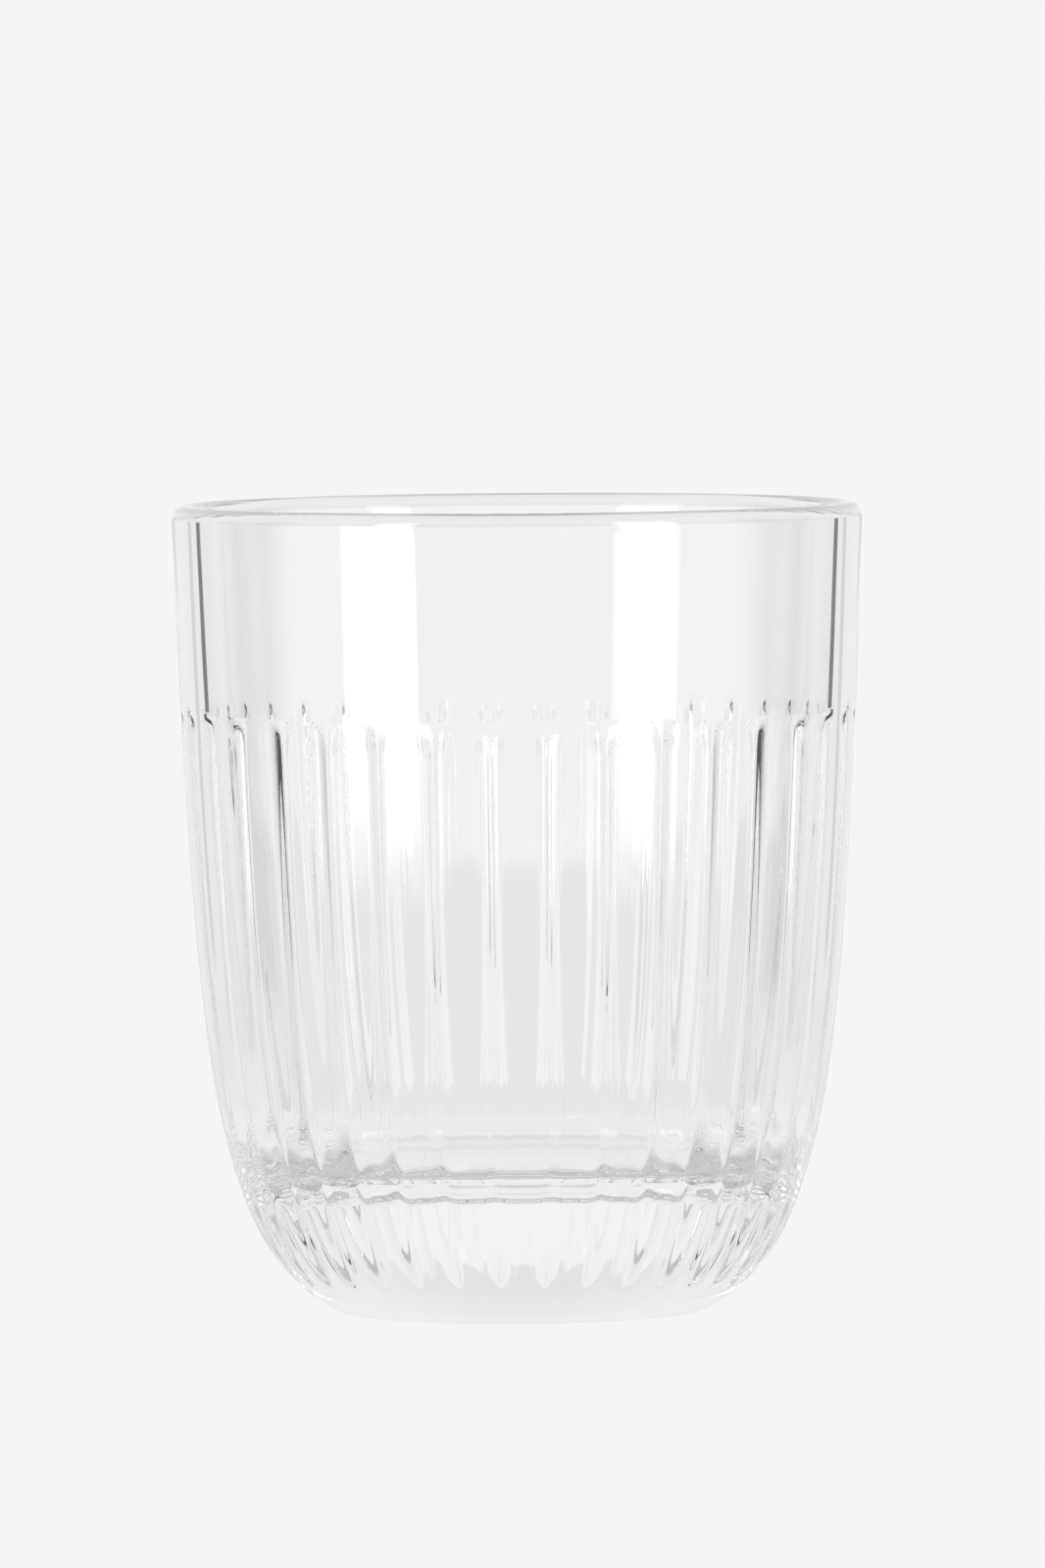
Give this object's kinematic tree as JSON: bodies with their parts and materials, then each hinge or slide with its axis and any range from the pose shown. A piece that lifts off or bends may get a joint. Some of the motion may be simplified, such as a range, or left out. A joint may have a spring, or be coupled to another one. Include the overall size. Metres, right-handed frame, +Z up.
{
  "type": "ribbed water glass",
  "caption": "Clear pressed-glass tumbler with a plain band under its round lip, vertical ribs parted by narrow valleys, a curved heel and a thick base; holds cold drinks and stands on a flat foot.",
  "frame": {"origin": "centre of the flat foot, on the surface that the glass stands on", "axes": "+Z up along the glass's axis, towards the open lip; +X and +Y are level, and the glass is the same all round"},
  "size_m": [0.08, 0.08, 0.094],
  "materials": {
    "clear_glass": "clear colourless pressed glass, fire-polished"
  },
  "bodies": {
    "root": {"tumbler": "clear_glass"}
  },
  "joints": []
}
